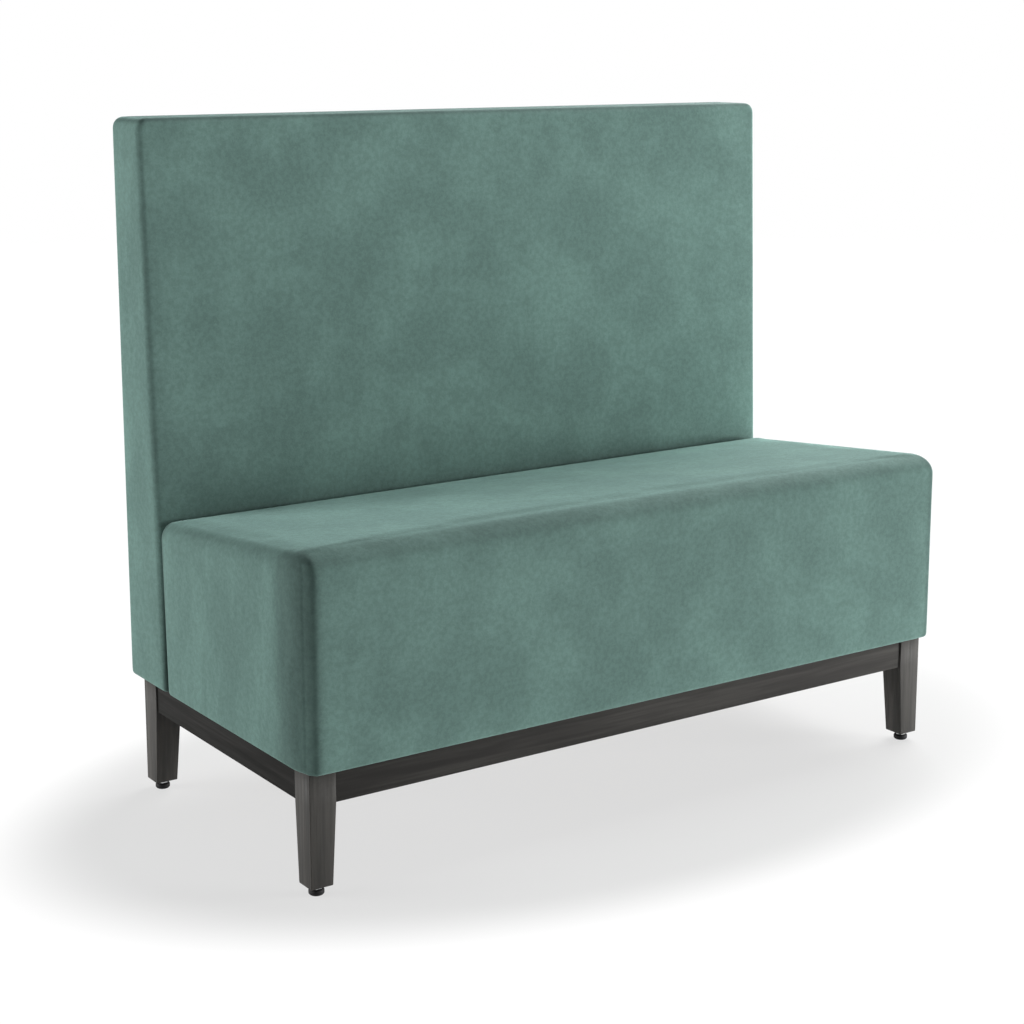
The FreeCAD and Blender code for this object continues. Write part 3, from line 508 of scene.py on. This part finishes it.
hem = {"legSide": 0.594, "legFront": -0.271, "legRear": 0.273, "foot": 0.191, "lip": 0.0032,
       "lipReach": 0.005, "lipHeight": 0.012}


# The cloth is turned in below, and its lip hangs a little where no leg carries it.

def lip(co, look):
    out = max(abs(co.x) - look["legSide"], look["legFront"] - co.y, co.y - look["legRear"])
    below = 1 - within((co.z - look["foot"]) / look["lipHeight"])
    return look["lip"] * within(out / look["lipReach"]) * below


def finishPiece(bm, name, material, body="booth"):
    bmesh.ops.recalc_face_normals(bm, faces=bm.faces[:])
    mesh = bpy.data.meshes.new(name)
    bm.to_mesh(mesh)
    bm.free()
    mesh.polygons.foreach_set("use_smooth", [True] * len(mesh.polygons))
    mesh.materials.append(material)
    piece = bpy.data.objects.new(name, mesh)
    bpy.context.scene.collection.objects.link(piece)
    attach(piece, body)
    return piece


def smoother(piece):
    soft = piece.modifiers.new("smoother", "SUBSURF")
    soft.levels = soft.render_levels = 1


def thicken(piece, thickness):
    thick = piece.modifiers.new("thickness", "SOLIDIFY")
    thick.thickness, thick.offset = thickness, 0.0


fabric = {"quality": 4, "mass": 0.3, "tension_stiffness": 12, "compression_stiffness": 12,
          "shear_stiffness": 4, "bending_stiffness": 0.4, "use_pressure": True}


# The pad swells under pressure, and each point moves outward by about two millimetres at most.

def swell(piece, held, look):
    start = [vert.co.copy() for vert in piece.data.vertices]
    normals = [vert.normal.copy() for vert in piece.data.vertices]
    group = piece.vertex_groups.new(name="held")
    group.add([vert.index for vert in piece.data.vertices if held(vert.co)], 1.0, "REPLACE")
    cloth = piece.modifiers.new("swelling", "CLOTH")
    for setting, value in fabric.items():
        setattr(cloth.settings, setting, value)
    cloth.settings.uniform_pressure_force = look["pressure"]
    cloth.settings.vertex_group_mass = group.name
    cloth.settings.effector_weights.gravity = 0
    cloth.collision_settings.use_collision = False
    for number in range(1, look["frames"] + 1):
        bpy.context.scene.frame_set(number)
    bpy.context.view_layer.objects.active = piece
    bpy.ops.object.modifier_apply(modifier=cloth.name)
    bpy.context.scene.frame_set(1)
    piece.vertex_groups.clear()
    for vert, rest, normal in zip(piece.data.vertices, start, normals):
        cap = Vector([part * most for part, most in zip(normal, look["cap"])]).length
        out = max(0.0, (vert.co - rest).dot(normal))
        vert.co = rest + normal * cap * math.tanh(out / cap)
    piece.data.update()


def uneven(piece, held, amounts):
    normals = [vert.normal.copy() for vert in piece.data.vertices]
    for vert, normal in zip(piece.data.vertices, normals):
        if not held(vert.co):
            shift = sum(amount * noiseAt(vert.co / length) for amount, length in amounts)
            vert.co += normal * shift
    piece.data.update()


# An unevenness is an amount and the length that it varies over.

seatLook = {
    "half": 0.6078, "front": -0.2912, "rearFoot": 0.1656, "rearHead": 0.1753,
    "foot": 0.191, "frontTop": 0.5050, "rearTop": 0.4605, "crown": 0.0015,
    "sideRadius": 0.022, "frontRadius": 0.052, "rearRadius": 0.019, "rimHeight": 0.032,
    "footRadius": 0.0066, "fineStep": 0.0044, "coarseStep": 0.0138, "footStep": 0.0022,
    "heldFoot": 0.02, "heldRear": 0.018, "pressure": 4.0, "frames": 20,
    "cap": (0.0009, 0.0018, 0.0022), "unevenness": ((0.0003, 0.2), (0.0001, 0.055)),
}


def makeSeat(look):
    half, front, foot = look["half"], look["front"], look["foot"]
    depth, height = look["rearHead"] - front, look["frontTop"] - foot
    side, rim, footRadius = look["sideRadius"], look["rimHeight"], look["footRadius"]
    fine, coarse = look["fineStep"], look["coarseStep"]
    bm = gridBox((spaced((-half, side - half, half - side, half), (fine, coarse, fine)),
                  spaced((0, look["frontRadius"], depth - look["rearRadius"], depth),
                         (fine, coarse, fine)),
                  spaced((0, footRadius, height - rim, height), (look["footStep"], coarse, fine))))
    corners = (-half, 0, 0), (half, depth, height)
    footRadii = (footRadius, footRadius, footRadius), (footRadius, 0, 0)
    radii = (side, look["frontRadius"], 0), (side, look["rearRadius"], rim)
    for vert in bm.verts:
        x, y, z = drawnIn(drawnIn(vert.co, *corners, *footRadii), *corners, *radii)
        back, up = y / depth, z / height
        rear = look["rearFoot"] + (look["rearHead"] - look["rearFoot"]) * up
        top = look["frontTop"] + (look["rearTop"] - look["frontTop"]) * back
        top += look["crown"] * (1 - (x / half) ** 2) * math.sin(math.pi * within(back))
        vert.co = x, front + back * (rear - front), foot + up * (top - foot)
        vert.co.z -= lip(vert.co, hem)
    print("seat cushion:", len(bm.verts), "points")
    piece = finishPiece(bm, "seatCushion", seatCloth)

    def held(co):
        return co.z < foot + look["heldFoot"] or co.y > look["rearFoot"] - look["heldRear"]

    swell(piece, held, look)
    uneven(piece, held, look["unevenness"])
    smoother(piece)
    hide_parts("seat_cover", "seat_foam", "seat_front_foam", "seat_end_foam_left",
                "seat_end_foam_right")


backLook = {
    "half": 0.6072, "frontFoot": 0.166, "frontTop": 0.198, "rear": 0.2946, "foot": 0.191,
    "top": 1.0736, "topRadius": 0.017, "topSegments": 6, "frontRadius": 0.011,
    "frontSegments": 5, "rearRadius": 0.009, "rearSegments": 4, "footRadius": 0.0055,
    "footSegments": 3, "step": 0.013, "seam": 0.47, "heldRear": 0.012, "pressure": 4.0,
    "frames": 20, "cap": (0.0006, 0.0012, 0.0005), "unevenness": ((0.0002, 0.18), (0.0001, 0.06)),
}


def makeBack(look):
    half, foot, top = look["half"], look["foot"], look["top"]
    bm = placedCube(half, ((look["frontFoot"], foot), (look["rear"], foot)),
                    ((look["frontTop"], top), (look["rear"], top)))
    east, rearward, up = (Vector(way) for way in ((1, 0, 0), (0, 1, 0), (0, 0, 1)))
    rake = Vector((0, foot - top, look["frontTop"] - look["frontFoot"])).normalized()
    frontFoot, rearFoot = (Vector((0, look[key], foot)) for key in ("frontFoot", "rear"))
    onFront, onRear, onFoot = (onPlane(plane) for plane in ((frontFoot, rake), (rearFoot, rearward),
                                                            (rearFoot, up)))
    roundEdges(bm, look["topRadius"], look["topSegments"],
               lambda a, b: min(a.z, b.z) > top - closeBy and abs(a.x - b.x) < closeBy)
    for onFace, name in ((onFront, "front"), (onRear, "rear")):
        roundEdges(bm, look[name + "Radius"], look[name + "Segments"],
                   lambda a, b: onFace(a) and onFace(b) and not (onFoot(a) and onFoot(b)))
    roundEdges(bm, look["footRadius"], look["footSegments"], lambda a, b: onFoot(a) and onFoot(b))
    side = half - look["topRadius"]
    gridCuts(bm, (east * -side, east), (east * side, east), look["step"])
    gridCuts(bm, (frontFoot - rake * look["frontRadius"], -rake),
             (rearFoot - rearward * look["rearRadius"], rearward), look["step"])
    gridCuts(bm, (up * (foot + look["footRadius"]), up), (up * (top - look["topRadius"]), up),
             look["step"])
    for vert in bm.verts:
        vert.co.z -= lip(vert.co, hem)
    print("back cushion:", len(bm.verts), "points")
    piece = finishPiece(bm, "backCushion", backCloth)

    def held(co):
        return co.z < look["seam"] or co.y > look["rear"] - look["heldRear"]

    swell(piece, held, look)
    uneven(piece, held, look["unevenness"])
    smoother(piece)
    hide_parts("back_cover", "back_foam", "back_edge_foam")


rearPanelLook = {
    "half": 0.5932, "front": 0.2908, "rear": 0.2954, "low": 0.2057, "high": 1.0553,
    "cornerRadius": 0.009, "cornerSegments": 4, "edgeRadius": 0.0024, "edgeSegments": 3,
    "step": 0.024, "heldRear": 0.002, "heldEdge": 0.003, "pressure": 3.0, "frames": 12,
    "cap": (0.0003, 0.0012, 0.0003),
}


def makeRearPanel(look):
    half, front, rear = look["half"], look["front"], look["rear"]
    low, high, inset, edge = look["low"], look["high"], look["cornerRadius"], look["heldEdge"]
    bm = placedCube(half, ((front, low), (rear, low)), ((front, high), (rear, high)))
    roundEdges(bm, inset, look["cornerSegments"], lambda a, b: abs(a.y - b.y) > closeBy)
    roundEdges(bm, look["edgeRadius"], look["edgeSegments"],
               lambda a, b: min(a.y, b.y) > rear - closeBy)
    east, up = Vector((1, 0, 0)), Vector((0, 0, 1))
    gridCuts(bm, (east * (inset - half), east), (east * (half - inset), east), look["step"])
    gridCuts(bm, (up * (low + inset), up), (up * (high - inset), up), look["step"])
    piece = finishPiece(bm, "rearPanelCloth", backCloth)

    def held(co):
        return (co.y < rear - look["heldRear"] or abs(co.x) > half - edge
                or not low + edge < co.z < high - edge)

    swell(piece, held, look)
    smoother(piece)
    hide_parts("back_rear_cover")


makeSeat(seatLook)
makeBack(backLook)
makeRearPanel(rearPanelLook)
print("cushions and rear panel made")

# Under the seat: elastic webbing over the box, and the lining stapled below it.

strapLook = {"count": 6, "spread": 1.188, "width": 0.060, "columns": 4, "thickness": 0.0014,
             "face": -0.271, "tab": 0.0295, "rear": 0.1709, "deckFront": 0.4240,
             "deckRear": 0.3815, "bend": 0.004, "bendDrop": 0.0004, "sag": 0.0008, "steps": 12}


def ofKind(items, kind):
    return [item for item in items if isinstance(item, kind)]


def makeStrap(number, look):
    left = look["spread"] * ((number - 0.5) / look["count"] - 0.5) - look["width"] / 2
    lift, bend = look["thickness"] / 2, look["bend"]
    face, top = look["face"] - lift, look["deckFront"] + lift
    run, fall = look["rear"] - face - bend, look["deckRear"] - look["deckFront"]
    line = [(face, top - look["tab"]), (face, top - bend), (face + bend, top - look["bendDrop"])]
    for step in range(1, look["steps"] + 1):
        part = step / look["steps"]
        sag = look["sag"] * math.sin(math.pi * part)
        line.append((face + bend + run * part, top + fall * part - sag))
    bm = bmesh.new()
    points = [bm.verts.new((left, y, z)) for y, z in line]
    edges = [bm.edges.new(pair) for pair in zip(points, points[1:])]
    for column in range(look["columns"]):
        grown = bmesh.ops.extrude_edge_only(bm, edges=edges)["geom"]
        bmesh.ops.translate(bm, vec=(look["width"] / look["columns"], 0, 0),
                            verts=ofKind(grown, bmesh.types.BMVert))
        edges = ofKind(grown, bmesh.types.BMEdge)
    piece = finishPiece(bm, f"webbingStrap{number}", webbing)
    thicken(piece, look["thickness"])
    smoother(piece)
    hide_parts(f"webbing_strap_{number}")


for number in range(1, strapLook["count"] + 1):
    makeStrap(number, strapLook)

liningLook = {"half": 0.547, "front": -0.2238, "rear": 0.1407, "top": 0.1910, "gap": 0.0001,
              "thickness": 0.0007, "sag": 0.0022, "ribEdge": 0.03, "bay": 0.437, "pull": 0.0002,
              "pullReach": 0.02, "staples": 0.078, "fold": 0.00021, "foldWidth": 0.012,
              "columns": 140, "rows": 46}


def makeLining(look):
    half, front, rear = look["half"], look["front"], look["rear"]
    upper = look["top"] - look["thickness"] / 2 - look["gap"]
    bm = bmesh.new()
    bmesh.ops.create_grid(bm, x_segments=look["columns"], y_segments=look["rows"], size=1.0)
    for vert in bm.verts:
        x, y = vert.co.x * half, front + (rear - front) * (vert.co.y + 1) / 2
        inward = min(half - abs(x), y - front, rear - y)
        free = within((abs(x) - look["ribEdge"]) / look["bay"])
        sag = look["sag"] * math.sin(math.pi * free) ** 2 * (1 - vert.co.y ** 2)
        puckers = math.exp(-inward / look["pullReach"]) * math.sin(math.pi * x / look["staples"]) ** 2
        fold = look["fold"] if inward < look["foldWidth"] else 0.0
        vert.co = x, y, upper - max(sag, look["pull"] * puckers, fold)
    piece = finishPiece(bm, "seatLining", lining)
    thicken(piece, look["thickness"])
    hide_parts("dust_cover")


makeLining(liningLook)
print("webbing and lining made")

# Wooden base.

legLook = {"side": 0.594, "front": -0.271, "rear": 0.273, "head": 0.191, "shoulder": 0.136,
           "foot": 0.015, "headWidth": 0.043, "footWidth": 0.036, "edge": 0.0014,
           "edgeSegments": 3, "footEdge": 0.00098, "footSegments": 2}


def makeLeg(place, look):
    outward = 1 if "right" in place else -1
    bm = bmesh.new()
    bmesh.ops.create_cube(bm, size=1)
    for vert in bm.verts:
        width, z = ((look["headWidth"], look["shoulder"]) if vert.co.z > 0
                    else (look["footWidth"], look["foot"]))
        vert.co = (vert.co.x + 0.5) * width, (vert.co.y + 0.5) * width, z
    top = [face for face in bm.faces if face.calc_center_median().z > look["shoulder"] - closeBy]
    raised = bmesh.ops.extrude_face_region(bm, geom=top)["geom"]
    bmesh.ops.delete(bm, geom=top, context="FACES_ONLY")
    bmesh.ops.translate(bm, vec=(0, 0, look["head"] - look["shoulder"]),
                        verts=ofKind(raised, bmesh.types.BMVert))
    roundEdges(bm, look["edge"], look["edgeSegments"], lambda a, b: abs(a.z - b.z) > closeBy)
    roundEdges(bm, look["footEdge"], look["footSegments"],
               lambda a, b: max(a.z, b.z) < look["foot"] + closeBy)
    for vert in bm.verts:
        x, y, z = vert.co
        vert.co = (outward * (look["side"] - x),
                   look["rear"] - y if "rear" in place else look["front"] + y, z)
    piece = finishPiece(bm, f"leg_{place}_wood", stainedWood["upright"])
    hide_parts(f"leg_{place}")


corners = [f"{end}_{side}" for end in ("front", "rear") for side in ("left", "right")]
for corner in corners:
    makeLeg(corner, legLook)

railLook = {"recess": 0.003, "thickness": 0.022, "low": 0.136, "high": 0.191, "edge": 0.001,
            "edgeSegments": 2, "tenonRecess": 0.010, "tenonThickness": 0.008,
            "tenonLength": 0.022, "shoulder": 0.008}


# A rail runs between two ends, along x or deep along y, and lies inward of its legs' face.

def makeRail(name, way, ends, face, inward, look):
    tenonEnds = ends[0] - look["tenonLength"], ends[1] + look["tenonLength"]
    tenonHeights = look["low"] + look["shoulder"], look["high"] - look["shoulder"]
    bm = bmesh.new()
    for run, recess, thickness, heights in (
            (ends, look["recess"], look["thickness"], (look["low"], look["high"])),
            (tenonEnds, look["tenonRecess"], look["tenonThickness"], tenonHeights)):
        sides = sorted((face + inward * recess, face + inward * (recess + thickness)))
        spans = (run, sides, heights) if way == "along" else (sides, run, heights)
        for vert in bmesh.ops.create_cube(bm, size=1)["verts"]:
            vert.co = [(low + high) / 2 + part * (high - low)
                       for part, (low, high) in zip(vert.co, spans)]
    roundEdges(bm, look["edge"], look["edgeSegments"], lambda a, b: True)
    piece = finishPiece(bm, name + "_wood", stainedWood[way])
    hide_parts(name)


def makeRails(leg, rail):
    inner = leg["side"] - leg["headWidth"]
    near, far = leg["front"] + leg["headWidth"], leg["rear"] - leg["headWidth"]
    makeRail("apron_front", "along", (-inner, inner), leg["front"], 1, rail)
    makeRail("apron_rear", "along", (-inner, inner), leg["rear"], -1, rail)
    makeRail("apron_left", "deep", (near, far), -leg["side"], 1, rail)
    makeRail("apron_right", "deep", (near, far), leg["side"], -1, rail)


makeRails(legLook, railLook)
print("base: legs and rails made")

padLook = {"edge": 0.0022, "socketRadius": 0.0041, "socketDepth": 0.005, "steps": 48,
           "bevel": 0.0007, "bevelSegments": 2}


def makeFoot(place, look):
    low, high = (Vector(corner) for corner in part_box(f"glide_pad_{place}"))
    centre, radius, edge = (low + high) / 2, (high.x - low.x) / 2, look["edge"]
    socket, floor = look["socketRadius"], high.z - look["socketDepth"]
    outline = [(0, low.z), (radius - edge, low.z), (radius, low.z + edge), (radius, high.z - edge),
               (radius - edge, high.z), (socket, high.z), (socket, floor), (0, floor)]
    bm = bmesh.new()
    points = [bm.verts.new((centre.x + out, centre.y, z)) for out, z in outline]
    lines = [bm.edges.new(pair) for pair in zip(points, points[1:])]
    bmesh.ops.spin(bm, geom=points + lines, cent=centre, axis=(0, 0, 1), angle=math.tau,
                   steps=look["steps"], use_merge=True)
    bmesh.ops.remove_doubles(bm, verts=bm.verts[:], dist=closeBy)
    piece = finishPiece(bm, f"glide_{place}_nylon", nylon, f"foot_{place}")
    bevel = piece.modifiers.new("moulded edge", "BEVEL")
    bevel.width, bevel.segments, bevel.limit_method = look["bevel"], look["bevelSegments"], "ANGLE"
    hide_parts(f"glide_pad_{place}")


for corner in corners:
    makeFoot(corner, padLook)
print("feet made")

# Floor, world, lamps and camera. The floor glows as the camera sees it: under the booth a share
# of its own shade is mixed in, and beyond the fade it is the white of the background. Nearer the
# booth the glow is dimmer and the floor's seen colour darker, a painted shade round the booth.

floorLook = {
    "radius": 9.0, "segments": 64, "seen": (0.56, 0.56, 0.555, 1), "unseen": (0.86, 0.86, 0.86, 1),
    "stretch": (1, 1.6, 1), "fade": (0.76, 1.0), "glowShare": (0.79, 1.0), "glow": (0.84, 1.04),
}


def makeFloor(look):
    bm = bmesh.new()
    bmesh.ops.create_circle(bm, cap_ends=True, segments=look["segments"], radius=look["radius"])
    mesh = bpy.data.meshes.new("studioFloor")
    bm.to_mesh(mesh)
    bm.free()
    floor = bpy.data.objects.new("studioFloor", mesh)
    bpy.context.scene.collection.objects.link(floor)
    material, tree, shader, place = newMaterial("paleFloor", Roughness=0.9, Specular_IOR_Level=0.1)
    path = tree.nodes.new("ShaderNodeLightPath").outputs
    seen = maths(tree, "MAXIMUM", path["Is Camera Ray"], path["Is Glossy Ray"])
    setShader(tree, shader, Base_Color=mixColour(tree, seen, look["unseen"], look["seen"]))
    distance = vectorMaths(tree, "LENGTH", {0: mapped(tree, place, Scale=look["stretch"])})["Value"]
    # near the booth the dimmer glow is a painted shade
    share, strength = (remap(tree, distance, *look["fade"], *look[key])
                       for key in ("glowShare", "glow"))
    glow = addNode(tree, "ShaderNodeEmission", {"Color": (1, 1, 1, 1), "Strength": strength})
    both = addNode(tree, "ShaderNodeMixShader", {0: maths(tree, "MULTIPLY", seen, share),
                   1: shader.outputs[0], 2: glow.outputs[0]})
    tree.links.new(both.outputs[0], tree.nodes["Material Output"].inputs["Surface"])
    mesh.materials.append(material)


worldLevel = 0.17


def makeWorld(level):
    world = bpy.data.worlds.new("softStudio")
    bpy.context.scene.world = world
    world.use_nodes = True
    tree = world.node_tree
    path = tree.nodes.new("ShaderNodeLightPath").outputs
    seen = maths(tree, "MAXIMUM", path["Is Camera Ray"],
                 maths(tree, "MAXIMUM", path["Is Glossy Ray"], path["Is Transmission Ray"]))
    background = tree.nodes["Background"].inputs
    setInput(tree, background["Strength"], remap(tree, seen, 0.0, 1.0, level, 1.0))
    setInput(tree, background["Color"], (1, 1, 1, 1))


boothMiddle, leftMiddle = (0.1, 0, 0.5), (-0.3, 0, 0.5)
lampLooks = {
    "overRear": {"power": 140, "size": (2.0, 1.8), "place": (2.4, 1.6, 2.6), "aim": boothMiddle},
    "overRight": {"power": 72, "size": (1.4, 1.4), "place": (2.6, 0.1, 2.2), "aim": boothMiddle},
    "overTop": {"power": 28, "size": (1.4, 1.4), "place": (1.6, 0.2, 2.8), "aim": boothMiddle},
    "keyRight": {"power": 368, "size": (1.8, 1.2), "place": (3.9, -3.0, 0.7), "aim": boothMiddle},
    "fillLeft": {"power": 198, "size": (2.0, 1.4), "place": (-4.0, 2.0, 0.7), "aim": leftMiddle},
}


def addLamp(name, look):
    data = bpy.data.lights.new(name, "AREA")
    data.energy, data.shape = look["power"], "RECTANGLE"
    data.size, data.size_y = look["size"]
    lamp = bpy.data.objects.new(name, data)
    lamp.location = look["place"]
    way = Vector(look["aim"]) - Vector(look["place"])
    lamp.rotation_euler = way.to_track_quat("-Z", "Y").to_euler()
    bpy.context.scene.collection.objects.link(lamp)


cameraLook = {"lens": 71.99, "sensor": 36.0, "shift": -0.0801, "place": (-1.8918, -2.6562, 1.1983),
              "tilt": 79.03, "turn": -34.51}


def makeCamera(look):
    data = bpy.data.cameras.new("photoCamera")
    data.lens, data.sensor_width, data.shift_y = look["lens"], look["sensor"], look["shift"]
    data.dof.use_dof = False
    camera = bpy.data.objects.new("photoCamera", data)
    camera.location = look["place"]
    camera.rotation_euler = math.radians(look["tilt"]), 0, math.radians(look["turn"])
    bpy.context.scene.collection.objects.link(camera)
    bpy.context.scene.camera = camera


makeFloor(floorLook)
makeWorld(worldLevel)
for name, look in lampLooks.items():
    addLamp(name, look)
makeCamera(cameraLook)
bpy.context.scene.view_settings.view_transform = "Standard"
print("studio set")
